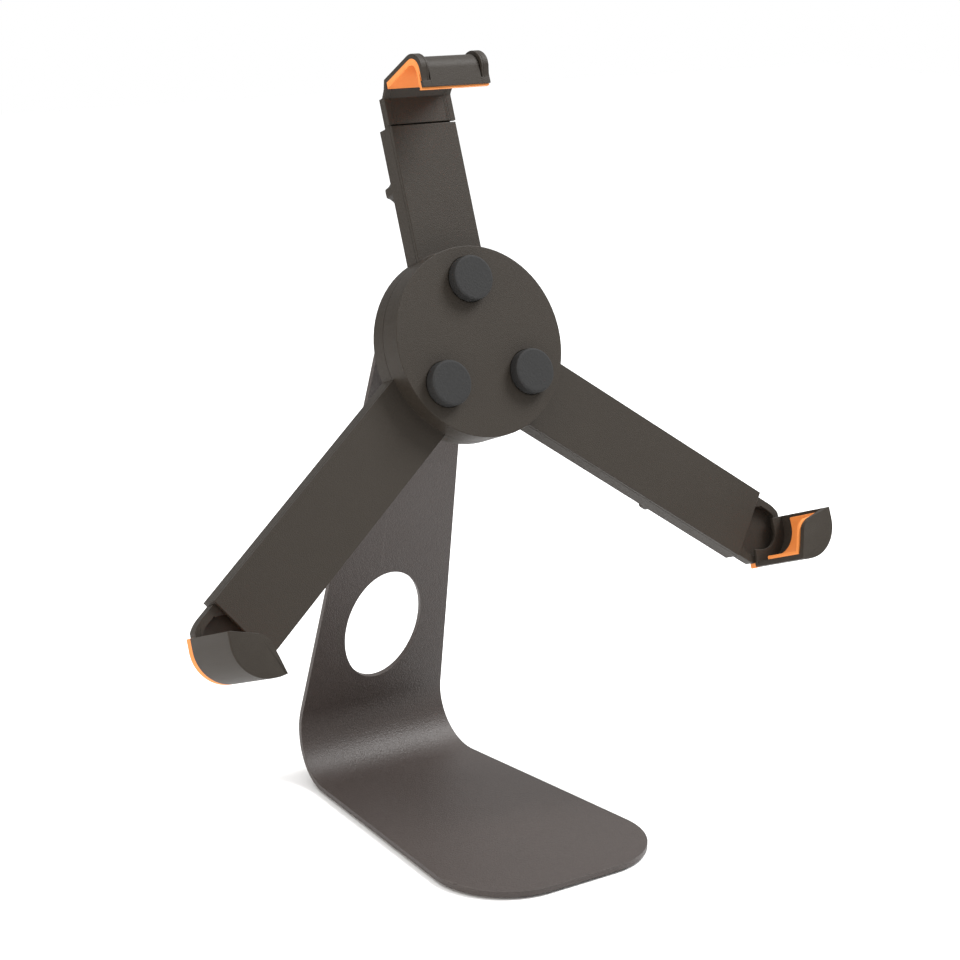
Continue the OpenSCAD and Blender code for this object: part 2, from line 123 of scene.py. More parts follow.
def makeGrain():
    # fine pebbling of a powder coat or a spark-eroded mould, with its relief and its tone
    tree, given, out = groupOf("grain", {"Per metre": 1500, "Relief": 1, "Speckle": 0.1},
                               ["Height", "Tone"])
    coord = tree.nodes.new("ShaderNodeTexCoord")
    cells = tree.nodes.new("ShaderNodeTexVoronoi")
    cells.feature = "SMOOTH_F1"
    tree.links.new(coord.outputs["Object"], cells.inputs["Vector"])
    tree.links.new(given.outputs["Per metre"], cells.inputs["Scale"])
    fineScale = mathNode(tree, "MULTIPLY", given.outputs["Per metre"], wearing["fineToCells"])
    fine = noiseNode(tree, fineScale, 4, 0.6)
    pits = mathNode(tree, "MULTIPLY", cells.outputs["Distance"], wearing["pitShare"])
    mixed = mathNode(tree, "ADD", pits, fine)
    tree.links.new(mathNode(tree, "MULTIPLY", mixed, given.outputs["Relief"]),
                   out.inputs["Height"])
    level = mathNode(tree, "SUBTRACT", fine, 0.5)
    spread = mathNode(tree, "MULTIPLY", level, given.outputs["Speckle"])
    tree.links.new(mathNode(tree, "ADD", spread, 1), out.inputs["Tone"])
    return tree


def makePatches():
    # slow, wide change of tone from handling and dust
    tree, given, out = groupOf("patches", {"Per metre": 25, "Amount": 0.2}, ["Tone", "Mask"])
    wide = noiseNode(tree, given.outputs["Per metre"], 5, 0.6)
    level = mathNode(tree, "SUBTRACT", wide, 0.5)
    spread = mathNode(tree, "MULTIPLY", level, given.outputs["Amount"])
    tree.links.new(mathNode(tree, "ADD", spread, 1), out.inputs["Tone"])
    rise = tree.nodes.new("ShaderNodeMapRange")
    rise.inputs["From Min"].default_value = wearing["handledFrom"]
    rise.inputs["From Max"].default_value = wearing["handledTo"]
    tree.links.new(wide, rise.inputs["Value"])
    tree.links.new(rise.outputs["Result"], out.inputs["Mask"])
    return tree


def makeRubbedEdgeAndHighlight():
    # where an outer edge is lighter, partly rubbed wear and partly a painted highlight, broken up
    # so that it is never a clean line
    tree, given, out = groupOf("rubbedEdgeAndHighlight", {"Start": 0.52, "End": 0.62, "Breakup": 180},
                               ["Mask"])
    geometry = tree.nodes.new("ShaderNodeNewGeometry")
    rise = tree.nodes.new("ShaderNodeMapRange")
    tree.links.new(geometry.outputs["Pointiness"], rise.inputs["Value"])
    tree.links.new(given.outputs["Start"], rise.inputs["From Min"])
    tree.links.new(given.outputs["End"], rise.inputs["From Max"])
    speckle = noiseNode(tree, given.outputs["Breakup"], 4)
    broken = mathNode(tree, "MULTIPLY_ADD", speckle, wearing["breakGain"], wearing["breakShift"])
    product = mathNode(tree, "MULTIPLY", rise.outputs["Result"], broken)
    least = mathNode(tree, "MAXIMUM", product, 0)
    tree.links.new(mathNode(tree, "MINIMUM", least, 1), out.inputs["Mask"])
    return tree


def makeStreaks():
    # brushing or turning marks: noise drawn out along x
    tree, given, out = groupOf("streaks", {"Per metre": 900}, ["Height"])
    coord = tree.nodes.new("ShaderNodeTexCoord")
    drawn = tree.nodes.new("ShaderNodeMapping")
    drawn.inputs["Scale"].default_value = (wearing["streakSquash"], 1, 1)
    noise = tree.nodes.new("ShaderNodeTexNoise")
    noise.inputs["Detail"].default_value = 4
    tree.links.new(coord.outputs["Object"], drawn.inputs["Vector"])
    tree.links.new(drawn.outputs["Vector"], noise.inputs["Vector"])
    tree.links.new(given.outputs["Per metre"], noise.inputs["Scale"])
    tree.links.new(noise.outputs["Fac"], out.inputs["Height"])
    return tree


groups = {"grain": makeGrain(), "patches": makePatches(), "rubbedEdgeAndHighlight": makeRubbedEdgeAndHighlight(),
          "streaks": makeStreaks()}


def placeGroup(tree, name, **values):
    node = tree.nodes.new("ShaderNodeGroup")
    node.node_tree = groups[name]
    for label, value in values.items():
        node.inputs[label.replace("_", " ")].default_value = value
    return node


# each finish's second, lighter colour goes on outer edges: partly rubbed wear, partly a painted
# edge highlight
finishes = {
    "powderCoat": {"colour": (0.046, 0.036, 0.032), "worn": (0.13, 0.112, 0.102),
                   "roughness": 0.40, "metallic": 0.0, "grain": 1500, "relief": 0.00014,
                   "speckle": 1.5, "patches": 0.16, "wear": 0.5, "specular": 0.38, "streaks": 0},
    "mouldedPlastic": {"colour": (0.031, 0.0255, 0.020), "worn": (0.066, 0.059, 0.050),
                       "roughness": 0.50, "metallic": 0.0, "grain": 2600, "relief": 0.00008,
                       "speckle": 0.25, "patches": 0.12, "wear": 0.25, "specular": 0.18,
                       "streaks": 0},
    "orangeGrip": {"colour": (0.78, 0.25, 0.055), "worn": (0.95, 0.42, 0.13), "roughness": 0.6,
                   "metallic": 0.0, "grain": 1400, "relief": 0.00005, "speckle": 0.12,
                   "patches": 0.10, "wear": 0.3, "specular": 0.35, "streaks": 0},
    "blackRubber": {"colour": (0.018, 0.018, 0.018), "worn": (0.06, 0.06, 0.06),
                    "roughness": 0.75, "metallic": 0.0, "grain": 900, "relief": 0.00012,
                    "speckle": 0.4, "patches": 0.4, "wear": 0.4, "specular": 0.3, "streaks": 0},
    "zincSteel": {"colour": (0.60, 0.60, 0.58), "worn": (0.75, 0.75, 0.75), "roughness": 0.33,
                  "metallic": 1.0, "grain": 700, "relief": 0.00001, "speckle": 0.15,
                  "patches": 0.2, "wear": 0.5, "specular": 0.5, "streaks": 0.00003},
    "blackSteel": {"colour": (0.030, 0.029, 0.028), "worn": (0.20, 0.19, 0.18),
                   "roughness": 0.42, "metallic": 0.3, "grain": 1500, "relief": 0.00008,
                   "speckle": 0.35, "patches": 0.2, "wear": 0.7, "specular": 0.5, "streaks": 0},
    "brass": {"colour": (0.72, 0.50, 0.18), "worn": (0.85, 0.65, 0.3), "roughness": 0.35,
              "metallic": 1.0, "grain": 800, "relief": 0.00001, "speckle": 0.2, "patches": 0.3,
              "wear": 0.5, "specular": 0.5, "streaks": 0.00003},
    "acetal": {"colour": (0.76, 0.74, 0.66), "worn": (0.8, 0.79, 0.74), "roughness": 0.4,
               "metallic": 0.0, "grain": 900, "relief": 0.00002, "speckle": 0.05,
               "patches": 0.05, "wear": 0.2, "specular": 0.5, "streaks": 0},
}


def makeMaterial(name, look):
    material = bpy.data.materials.new(name)
    material.use_nodes = True
    tree = material.node_tree
    shader = tree.nodes["Principled BSDF"]
    shader.inputs["Metallic"].default_value = look["metallic"]
    shader.inputs["Specular IOR Level"].default_value = look["specular"]
    grain = placeGroup(tree, "grain", Per_metre=look["grain"], Relief=1, Speckle=look["speckle"])
    patches = placeGroup(tree, "patches", Per_metre=wearing["patchesPerMetre"],
                         Amount=look["patches"])
    edge = placeGroup(tree, "rubbedEdgeAndHighlight", Start=wearing["edgeStart"], End=wearing["edgeEnd"],
                      Breakup=wearing["edgeBreakup"])
    tone = mathNode(tree, "MULTIPLY", grain.outputs["Tone"], patches.outputs["Tone"])
    # outer edges turn towards the lighter colour: rubbed wear together with a painted highlight
    mix = tree.nodes.new("ShaderNodeMix")
    mix.data_type = "RGBA"
    mix.inputs["A"].default_value = (*look["colour"], 1)
    mix.inputs["B"].default_value = (*look["worn"], 1)
    worn = mathNode(tree, "MULTIPLY", edge.outputs["Mask"], look["wear"])
    tree.links.new(worn, mix.inputs["Factor"])
    scale = tree.nodes.new("ShaderNodeVectorMath")
    scale.operation = "SCALE"
    tree.links.new(mix.outputs["Result"], scale.inputs[0])
    tree.links.new(tone, scale.inputs["Scale"])
    tree.links.new(scale.outputs["Vector"], shader.inputs["Base Color"])
    rough = mathNode(tree, "MULTIPLY_ADD", patches.outputs["Mask"], wearing["handledRoughness"],
                     look["roughness"])
    rough = mathNode(tree, "MULTIPLY_ADD", edge.outputs["Mask"],
                     wearing["rubbedRoughness"] * look["wear"], rough)
    tree.links.new(rough, shader.inputs["Roughness"])
    bump = tree.nodes.new("ShaderNodeBump")
    bump.inputs["Strength"].default_value = 1
    bump.inputs["Distance"].default_value = look["relief"]
    height = grain.outputs["Height"]
    if look["streaks"]:
        streaks = placeGroup(tree, "streaks", Per_metre=wearing["streaksPerMetre"])
        share = look["streaks"] / look["relief"]
        height = mathNode(tree, "MULTIPLY_ADD", streaks.outputs["Height"], share, height)
    tree.links.new(height, bump.inputs["Height"])
    tree.links.new(bump.outputs["Normal"], shader.inputs["Normal"])
    return material


materials = {name: makeMaterial(name, look) for name, look in finishes.items()}
print("materials made,", len(materials))


def finishPiece(name, bm, finish, body, nodes, place=None, smoothAngle=32):
    # turns a finished bmesh into a piece that rides on its body in place of CAD nodes
    if place is not None:
        bmesh.ops.transform(bm, matrix=place, verts=bm.verts)
    bmesh.ops.recalc_face_normals(bm, faces=bm.faces)
    mesh = bpy.data.meshes.new(name)
    bm.to_mesh(mesh)
    bm.free()
    mesh.shade_smooth()
    mesh.set_sharp_from_angle(angle=radians(smoothAngle))
    mesh.materials.append(materials[finish])
    piece = bpy.data.objects.new(name, mesh)
    bpy.context.scene.collection.objects.link(piece)
    # wide faces shade flat up to their round edges
    flat = piece.modifiers.new("flatFaces", "WEIGHTED_NORMAL")
    flat.keep_sharp = True
    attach(piece, body)
    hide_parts(*nodes)


def sharpEdges(bm, least=30):
    return [edge for edge in bm.edges
            if len(edge.link_faces) == 2 and edge.calc_face_angle(0) > radians(least)]


def roundEdges(bm, edges, width, segments=2):
    bmesh.ops.bevel(bm, geom=edges, offset=width, offset_type="OFFSET", affect="EDGES",
                    segments=segments, profile=0.5, material=-1, clamp_overlap=True)


def holdEdges(bm, faces, width):
    # a narrow loop inside the wide faces, so that the edge wear and painted edge highlight stay
    # near the edges
    bmesh.ops.inset_region(bm, faces=faces, thickness=width, use_even_offset=True,
                           use_boundary=True)


def wideFaces(bm, least):
    return [face for face in bm.faces if face.calc_area() > least]


def pushOut(bm, grown, step):
    bmesh.ops.translate(bm, vec=step,
                        verts=[item for item in grown if isinstance(item, bmesh.types.BMVert)])


def loopOf(bm, points):
    verts = [bm.verts.new(point) for point in points]
    return verts, [bm.edges.new((a, b)) for a, b in zip(verts, verts[1:])]


def arc(centre, radius, start, end, steps):
    return [(centre[0] + radius * cos(radians(start + (end - start) * k / steps)),
             centre[1] + radius * sin(radians(start + (end - start) * k / steps)))
            for k in range(steps + 1)]


foot = {"plateThickness": 2, "matThickness": 1, "length": 119.5, "front": 60,
        "frontHalfWidth": 44.6, "taper": 0.083, "cornerRadius": 27.7, "bendRadius": 19,
        "lean": 14.3, "uprightLength": 165.8, "topRadius": 8, "holeUp": 32.9,
        "holeHalfWidth": 16.9, "holeHalfHeight": 23.3, "edgeRound": 0.4, "edgeHold": 0.5,
        "screwAcross": 6, "screwUp": (133, 142), "screwHole": 2.1, "bendCuts": 44,
        "cornerSteps": 16, "topSteps": 10, "sharpOver": 60,
        "flatCuts": [20, 60, 90], "holeSides": 96, "screwHoleSides": 24}


def footLengths():
    bend = foot["bendRadius"] * radians(90 + foot["lean"])
    return bend, foot["length"] + bend + foot["uprightLength"]


def bendPlace(point):
    # from the flat pattern (across, along, above) to the bent plate, in millimetres
    across, along, above = point
    bend, _ = footLengths()
    r = foot["bendRadius"]
    top = foot["matThickness"] + foot["plateThickness"]
    y0 = foot["length"] - foot["front"]
    if along <= foot["length"]:
        return Vector((across, along - foot["front"], top + above))
    angle = min((along - foot["length"]) / r, radians(90 + foot["lean"]))
    y = y0 + (r - above) * sin(angle)
    z = top + r - (r - above) * cos(angle)
    past = max(0, along - foot["length"] - bend)
    return Vector((across, y + past * cos(angle), z + past * sin(angle)))


def plateOutline():
    _, total = footLengths()
    slope = foot["taper"]
    lean = degrees(atan(slope))
    r, rTop = foot["cornerRadius"], foot["topRadius"]
    width = sqrt(1 + slope * slope)
    frontX = foot["frontHalfWidth"] - slope * r - r * width
    topX = foot["frontHalfWidth"] - slope * (total - rTop) - rTop * width
    right = arc((frontX, r), r, -90, lean, foot["cornerSteps"])
    right += arc((topX, total - rTop), rTop, lean, 90, foot["topSteps"])
    return right + [(-x, y) for x, y in reversed(right)]


def makeFootPlate():
    bend, _ = footLengths()
    bm = bmesh.new()
    verts, _ = loopOf(bm, [(x, y, 0) for x, y in plateOutline()])
    bm.edges.new((verts[-1], verts[0]))
    hole = bmesh.ops.create_circle(bm, segments=foot["holeSides"], radius=1)["verts"]
    bmesh.ops.scale(bm, vec=(foot["holeHalfWidth"], foot["holeHalfHeight"], 1), verts=hole)
    bmesh.ops.translate(bm, vec=(0, foot["length"] + bend + foot["holeUp"], 0), verts=hole)
    for x in (-foot["screwAcross"], foot["screwAcross"]):
        for up in foot["screwUp"]:
            bolt = bmesh.ops.create_circle(bm, segments=foot["screwHoleSides"],
                                           radius=foot["screwHole"])["verts"]
            bmesh.ops.translate(bm, vec=(x, foot["length"] + bend + up, 0), verts=bolt)
    bmesh.ops.triangle_fill(bm, use_beauty=True, edges=bm.edges[:])
    steps = foot["bendCuts"]
    cuts = [foot["length"] + bend * k / steps for k in range(steps + 1)] + foot["flatCuts"]
    for along in cuts:
        bmesh.ops.bisect_plane(bm, geom=bm.verts[:] + bm.edges[:] + bm.faces[:], dist=1e-5,
                               plane_co=(0, along, 0), plane_no=(0, 1, 0))
    grown = bmesh.ops.extrude_face_region(bm, geom=bm.faces[:])["geom"]
    pushOut(bm, grown, (0, 0, -foot["plateThickness"]))
    bmesh.ops.recalc_face_normals(bm, faces=bm.faces)
    roundEdges(bm, sharpEdges(bm, foot["sharpOver"]), foot["edgeRound"], 3)
    bm.normal_update()
    holdEdges(bm, [face for face in bm.faces if abs(face.normal.z) > 0.99], foot["edgeHold"])
    for vert in bm.verts:
        vert.co = bendPlace(vert.co)
    finishPiece("footPlate", bm, "powderCoat", "foot", ["foot_plate"],
                Matrix.Scale(mm, 4), smoothAngle=25)


makeFootPlate()
print("foot plate made")

claw = {"side": 126.4, "drop": 98.3, "radius": 13, "wall": 2, "wallTop": -81, "wallEnd": 108.6,
        "bottomTurn": 111.4, "bottomLift": 0.5, "lipFront": 4, "lipBack": 1.7, "bandFront": -23.5,
        "linerBack": -15.7, "linerThickness": 1.3, "linerDrop": 1.2, "linerShow": 0.5,
        "linerRound": 0.25, "crestRound": 0.6, "wideFace": 3, "edgeHold": 0.2,
        "flangeBack": -23.1, "flangeThickness": 1.5, "flangeDepth": 6.5, "edgeRound": 0.3,
        "lipEdge": [(109.1, -97.3), (110.3, -92.3), (112.1, -86.8)], "lipCorner": (115.9, -83.5),
        "lipBulge": (113.2, -84.7), "cornerSteps": 20, "lipSteps": 8, "sharpOver": 50}


def clawSide(inset=0, top=claw["wallTop"]):
    # line of the wall, so far inside its outer face: down the side, round the corner and
    # along the bottom
    centre = (claw["side"] - claw["radius"], -claw["drop"] + claw["radius"])
    r = claw["radius"] - inset
    bottom = -claw["drop"] + inset
    turn = arc(centre, r, 0, -90, claw["cornerSteps"])
    end = [(claw["bottomTurn"], bottom), (claw["wallEnd"], bottom + claw["bottomLift"])]
    return [(claw["side"] - inset, top)] + turn + end


def lipEdge():
    # free edge of the lip, from the bottom wall's end up and over to the side wall
    low, mid, high = claw["lipEdge"]
    corner = Vector(claw["lipCorner"])
    start = Vector(high)
    bulge = Vector(claw["lipBulge"])
    bend = [tuple(start.lerp(bulge, t).lerp(bulge.lerp(corner, t), t))
            for t in [k / claw["lipSteps"] for k in range(claw["lipSteps"] + 1)]]
    return [low, mid] + bend


def sideFor(which):
    return holderPlace @ mirrored if which == "left" else holderPlace


def makeFlange():
    # the ledge inside the wall that the two screws from the arm bite into
    bm = bmesh.new()
    outside = clawSide(claw["wall"] / 2)
    inside = clawSide(claw["flangeDepth"])
    verts, _ = loopOf(bm, [(x, y, claw["flangeBack"]) for x, y in outside + inside[::-1]])
    bm.faces.new(verts)
    grown = bmesh.ops.extrude_face_region(bm, geom=bm.faces[:])["geom"]
    pushOut(bm, grown, (0, 0, claw["flangeThickness"]))
    bmesh.ops.recalc_face_normals(bm, faces=bm.faces)
    roundEdges(bm, sharpEdges(bm, claw["sharpOver"]), claw["edgeRound"], 2)
    mesh = bpy.data.meshes.new("flange")
    bm.to_mesh(mesh)
    bm.free()
    return mesh


def makeClawLiner(which):
    # the soft lining of wall and lip, which shows as a thin line past the lip's free edge
    bm = bmesh.new()
    verts, path = loopOf(bm, [(x, y, claw["lipBack"]) for x, y in
                              clawSide(claw["wall"], claw["wallTop"] - claw["linerDrop"])])
    free = [(x - claw["linerShow"], y + claw["linerShow"] / 2) for x, y in lipEdge()[1:-1]]
    bm.faces.new(verts + [bm.verts.new((x, y, claw["lipBack"])) for x, y in free])
    grown = bmesh.ops.extrude_edge_only(bm, edges=path)["geom"]
    pushOut(bm, grown, (0, 0, claw["linerBack"] - claw["lipBack"]))
    bmesh.ops.recalc_face_normals(bm, faces=bm.faces)
    lip = max(bm.faces, key=lambda face: len(face.verts))
    if lip.normal.z < 0:
        bmesh.ops.reverse_faces(bm, faces=bm.faces)
    bmesh.ops.solidify(bm, geom=bm.faces[:], thickness=claw["linerThickness"])
    bmesh.ops.recalc_face_normals(bm, faces=bm.faces)
    roundEdges(bm, sharpEdges(bm, claw["sharpOver"]), claw["linerRound"], 2)
    finishPiece(which + "ClawLiner", bm, "orangeGrip", which + "_slide",
                [which + "_claw_liner"], sideFor(which))


def makeClawShell(which):
    bm = bmesh.new()
    side = clawSide()
    verts, path = loopOf(bm, [(x, y, claw["lipFront"]) for x, y in side])
    rim = [bm.verts.new((x, y, claw["lipFront"])) for x, y in lipEdge()[1:]]
    bm.faces.new(verts + rim)
    grown = bmesh.ops.extrude_edge_only(bm, edges=path)["geom"]
    pushOut(bm, grown, (0, 0, claw["bandFront"] - claw["lipFront"]))
    bmesh.ops.recalc_face_normals(bm, faces=bm.faces)
    lip = max(bm.faces, key=lambda face: len(face.verts))
    if lip.normal.z < 0:
        bmesh.ops.reverse_faces(bm, faces=bm.faces)
    bmesh.ops.solidify(bm, geom=bm.faces[:], thickness=claw["wall"])
    bmesh.ops.recalc_face_normals(bm, faces=bm.faces)
    flange = makeFlange()
    crest = [edge for edge in sharpEdges(bm, claw["sharpOver"])
             if all(vert.co.z > claw["lipFront"] - 0.01 for vert in edge.verts)
             and all(any(abs(vert.co.x - x) + abs(vert.co.y - y) < 0.01 for x, y in side[:-1])
                     for vert in edge.verts)]
    rest = [edge for edge in sharpEdges(bm, claw["sharpOver"]) if edge not in crest]
    roundEdges(bm, crest, claw["crestRound"], 4)
    roundEdges(bm, [edge for edge in rest if edge.is_valid], claw["edgeRound"], 2)
    holdEdges(bm, wideFaces(bm, claw["wideFace"]), claw["edgeHold"])
    bm.from_mesh(flange)
    bpy.data.meshes.remove(flange)
    finishPiece(which + "ClawShell", bm, "mouldedPlastic", which + "_slide",
                [which + "_claw_shell"], sideFor(which))


for which in ("left", "right"):
    makeClawShell(which)
    makeClawLiner(which)
print("lower claws made")

topClaw = {"halfWidth": 14, "lipEnd": 86.7, "corner": (93.0, -1.4), "radius": 5.4,
           "roofSlope": 0.2, "roofEnd": -19.6,
           "rear": [(93.0, -21.0), (90.5, -23.15), (80.6, -23.15)],
           "rearInside": [(80.6, -21.7), (90.0, -21.7), (91.6, -19.9)], "wall": 1.25,
           "liner": 1.5, "linerEnd": -18.2, "linerLip": 86.2, "rimInner": 10.9,
           "rimHeight": 1.2, "rimStart": 89.0, "rimProud": 0.9, "grooveInner": 10.5,
           "grooveDepth": 0.8, "teeth": 0.6, "roofTeeth": 17, "lipTeeth": 6, "rimLining": 0.75,
           "liningInner": 11.7, "edgeRound": 0.22, "overlap": 0.1,
           "cornerSteps": 14, "sharpOver": 45}


def topClawLine(offset=0, end=topClaw["lipEnd"], back=topClaw["roofEnd"]):
    # (up, forward) line of the claw, so far outside its main face: up the lip, over the corner
    # and down the roof
    slope = topClaw["roofSlope"]
    lean = degrees(atan(slope))
    up, out = topClaw["corner"]
    r = topClaw["radius"] + offset
    turn = [(up + r * sin(radians(a)), out + r * cos(radians(a))) for a in
            [(90 + lean) * k / topClaw["cornerSteps"] for k in range(topClaw["cornerSteps"] + 1)]]
    return [(end, out + r)] + turn + [(turn[-1][0] + slope * (back - turn[-1][1]), back)]


def strip(bm, profile, low, high):
    # a closed solid with this (up, forward) profile, from one place across to another
    verts, _ = loopOf(bm, [(low, up, out) for up, out in profile])
    face = bm.faces.new(verts)
    grown = bmesh.ops.extrude_face_region(bm, geom=[face])["geom"]
    pushOut(bm, grown, (high - low, 0, 0))


def makeTopClawShell():
    bm = bmesh.new()
    inside = topClaw["rearInside"] + topClawLine(-topClaw["wall"], back=topClaw["linerEnd"])[::-1]
    main = topClawLine() + topClaw["rear"] + inside
    sunk = topClawLine(-topClaw["grooveDepth"], topClaw["rimStart"], topClaw["roofEnd"])
    sunk += topClaw["rear"]
    rimEnd = topClaw["rimStart"]
    front = topClaw["corner"][1] + topClaw["radius"]
    rim = topClawLine(topClaw["rimHeight"])[1:]
    rim = [(rimEnd + 1, front)] + [(up, min(out, front + topClaw["rimProud"])) for up, out in rim]
    middle, groove, edge = topClaw["grooveInner"], topClaw["rimInner"], topClaw["halfWidth"]
    strip(bm, main, -middle, middle)
    lap = topClaw["overlap"]
    for side in (-1, 1):
        low, high = sorted((side * (middle - lap), side * (groove + lap)))
        strip(bm, sunk + inside[:-1] + [(rimEnd, front - topClaw["wall"])], low, high)
        low, high = sorted((side * (middle - lap), side * edge))
        strip(bm, [(topClaw["lipEnd"], front), (rimEnd, front), (rimEnd, front - topClaw["wall"]),
                   (topClaw["lipEnd"], front - topClaw["wall"])], low, high)
        lined = topClawLine(topClaw["rimLining"] - topClaw["wall"], back=topClaw["linerEnd"])[::-1]
        outline = [(rimEnd - lap, front)] + rim + topClaw["rear"]
        low, high = sorted((side * topClaw["liningInner"], side * edge))
        strip(bm, outline + topClaw["rearInside"] + lined[:-1] + [(rimEnd - lap, lined[-1][1])],
              low, high)
        low, high = sorted((side * groove, side * (topClaw["liningInner"] + lap / 2)))
        strip(bm, outline + inside[:-1] + [(rimEnd - lap, front - topClaw["wall"])], low, high)
    bmesh.ops.recalc_face_normals(bm, faces=bm.faces)
    roundEdges(bm, sharpEdges(bm, topClaw["sharpOver"]), topClaw["edgeRound"], 2)
    finishPiece("topClawShell", bm, "mouldedPlastic", "top_slide",
                ["top_claw_shell"], holderPlace)


def toothed(points, depth, count):
    # a saw edge along a straight run, cut towards the right of its direction
    start, end = (Vector(point) for point in points)
    across = (end - start).normalized()
    across = Vector((across.y, -across.x)) * depth
    return [tuple(start.lerp(end, (k + 0.5 * half) / count) + across * half)
            for k in range(count) for half in (0, 1)]


def makeTopClawLiner():
    bm = bmesh.new()
    outside = topClawLine(-topClaw["wall"], topClaw["linerLip"], topClaw["linerEnd"])
    inside = topClawLine(-topClaw["wall"] - topClaw["liner"], topClaw["linerLip"],
                         topClaw["linerEnd"])
    teeth = toothed((inside[-1], inside[-2]), topClaw["teeth"], topClaw["roofTeeth"])
    teeth += inside[-2:1:-1]
    teeth += toothed((inside[1], inside[0]), topClaw["teeth"], topClaw["lipTeeth"])
    edge = topClaw["halfWidth"] - topClaw["overlap"] / 2
    strip(bm, outside + teeth + [inside[0]], -edge, edge)
    raised = topClawLine(topClaw["rimLining"] - topClaw["wall"], topClaw["rimStart"],
                         topClaw["linerEnd"])
    start = topClaw["liningInner"] + topClaw["overlap"]
    for low, high in ((-edge, -start), (start, edge)):
        strip(bm, raised + outside[:0:-1], low, high)
    bmesh.ops.recalc_face_normals(bm, faces=bm.faces)
    finishPiece("topClawLiner", bm, "orangeGrip", "top_slide", ["top_claw_liner"],
                holderPlace, smoothAngle=25)


makeTopClawShell()
makeTopClawLiner()
print("top claw made")

hub = {"postRadius": 24, "armPostRadius": 26, "postAngles": (270, 26.6, 153.4),
       "shellBack": -29.5, "screwTop": -16.6, "screwSink": 0.1, "headRadius": 2.9,
       "threadRadius": 1.5, "headThickness": 1.05}
screws = {"armBack": -27.5, "armHead": 1.4, "clawHeadRadius": 1.9, "clawThread": 0.95,
          "clawTop": -21.7, "clawOut": 9.6, "clawAngles": (-12, -78), "topUp": 85.5,
          "topAcross": 6, "topTop": -22, "topHeadRadius": 2.8, "topThread": 1.5,
          "hexShare": 0.52, "hexDepthShare": 0.65, "chamfer": 0.2, "tipChamfer": 0.3}


def ringOf(bm, radius, height, six=False):
    # 24 points round a circle, or round a hexagon for a key socket
    verts = bmesh.ops.create_circle(bm, segments=24, radius=radius)["verts"]
    for k, vert in enumerate(verts):
        if six:
            turn = (k * 15) % 60 - 30
            vert.co *= cos(radians(30)) / cos(radians(turn))
        vert.co.z = height
    return verts


def ringEdges(verts):
    pool = set(verts)
    return list({edge for vert in verts for edge in vert.link_edges
                 if edge.other_vert(vert) in pool})


def turnedScrew(bm, place, back, headThickness, headRadius, threadRadius, top):
    # a cap screw seen from behind: key socket, chamfered head, shank
    key = headRadius * screws["hexShare"]
    chamfer, tip = screws["chamfer"], screws["tipChamfer"]
    shape = [(key, back + headThickness * screws["hexDepthShare"], True), (key, back, True),
             (headRadius - chamfer, back, False), (headRadius, back + chamfer, False),
             (headRadius, back + headThickness, False), (threadRadius, back + headThickness, False),
             (threadRadius, top - tip, False), (threadRadius - tip, top, False)]
    part = bmesh.new()
    rings = [ringOf(part, *ring) for ring in shape]
    for low, high in zip(rings, rings[1:]):
        bmesh.ops.bridge_loops(part, edges=ringEdges(low) + ringEdges(high))
    bmesh.ops.contextual_create(part, geom=rings[0])
    bmesh.ops.contextual_create(part, geom=rings[-1])
    bmesh.ops.translate(part, vec=(place[0], place[1], 0), verts=part.verts)
    mesh = bpy.data.meshes.new("screw")
    part.to_mesh(mesh)
    part.free()
    bm.from_mesh(mesh)
    bpy.data.meshes.remove(mesh)


def makeScrews():
    lowerAngle = degrees(atan(-(claw["drop"] - claw["radius"]) / (claw["side"] - claw["radius"])))
    posts = [(hub["postRadius"], angle) for angle in hub["postAngles"]]
    posts += [(hub["armPostRadius"], angle) for angle in (90, lowerAngle, 180 - lowerAngle)]
    bm = bmesh.new()
    for r, angle in posts:
        turnedScrew(bm, (r * cos(radians(angle)), r * sin(radians(angle))),
                    hub["shellBack"] + hub["screwSink"],
                    hub["headThickness"], hub["headRadius"], hub["threadRadius"], hub["screwTop"])
    finishPiece("hubScrews", bm, "zincSteel", "hub", ["hub_screws"], holderPlace)
    bm = bmesh.new()
    head = screws["armBack"] - screws["armHead"]
    for x in (-screws["topAcross"], screws["topAcross"]):
        turnedScrew(bm, (x, screws["topUp"]), head, screws["armHead"], screws["topHeadRadius"],
                    screws["topThread"], screws["topTop"])
    finishPiece("topClawScrews", bm, "zincSteel", "top_slide",
                ["top_claw_screws"], holderPlace)
    for which in ("left", "right"):
        bm = bmesh.new()
        for angle in screws["clawAngles"]:
            x = claw["side"] - claw["radius"] + screws["clawOut"] * cos(radians(angle))
            y = claw["radius"] - claw["drop"] + screws["clawOut"] * sin(radians(angle))
            turnedScrew(bm, (x, y), head, screws["armHead"], screws["clawHeadRadius"],
                        screws["clawThread"], screws["clawTop"])
        finishPiece(which + "ClawScrews", bm, "zincSteel", which + "_slide",
                    [which + "_claw_screws"], sideFor(which))


makeScrews()
print("screws made")

